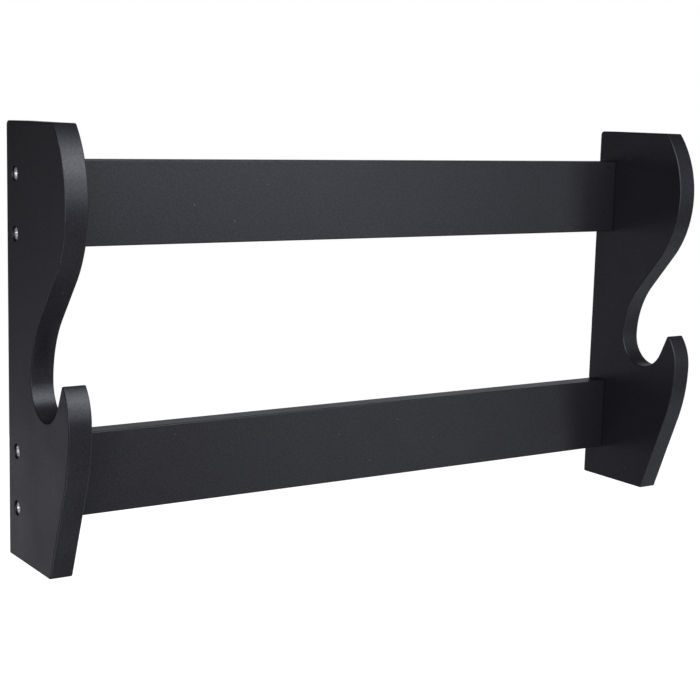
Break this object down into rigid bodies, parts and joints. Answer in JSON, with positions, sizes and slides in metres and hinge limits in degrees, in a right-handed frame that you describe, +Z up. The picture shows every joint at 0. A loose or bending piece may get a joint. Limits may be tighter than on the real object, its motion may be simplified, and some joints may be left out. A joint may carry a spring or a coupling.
{
  "type": "wall cue rack",
  "caption": "Black-painted wall rack that carries a cue level: side cheeks with a bulge, a round cup and a hook, joined by flat rails.",
  "frame": {"origin": "on the wall plane, midway between the two wall screws that the rack hangs on, level with the tops of the keyhole slots", "axes": "+X along the rack to the right as seen from the front, +Y into the wall, +Z up"},
  "size_m": [0.508, 0.0948, 0.2755],
  "materials": {
    "black_paint": "satin black paint over fine fibreboard",
    "zinc_screw": "bright zinc plating",
    "plated_hanger": "dull zinc plating"
  },
  "bodies": {
    "root": {"left_cheek": "black_paint", "right_cheek": "black_paint", "upper_rail": "black_paint", "lower_rail": "black_paint", "left_upper_screw_top": "zinc_screw", "left_upper_screw_bottom": "zinc_screw", "left_lower_screw_top": "zinc_screw", "left_lower_screw_bottom": "zinc_screw", "right_upper_screw_top": "zinc_screw", "right_upper_screw_bottom": "zinc_screw", "right_lower_screw_top": "zinc_screw", "right_lower_screw_bottom": "zinc_screw", "left_hanger_plate": "plated_hanger", "right_hanger_plate": "plated_hanger", "left_hanger_screw_top": "plated_hanger", "left_hanger_screw_bottom": "plated_hanger", "right_hanger_screw_top": "plated_hanger", "right_hanger_screw_bottom": "plated_hanger"}
  },
  "joints": []
}
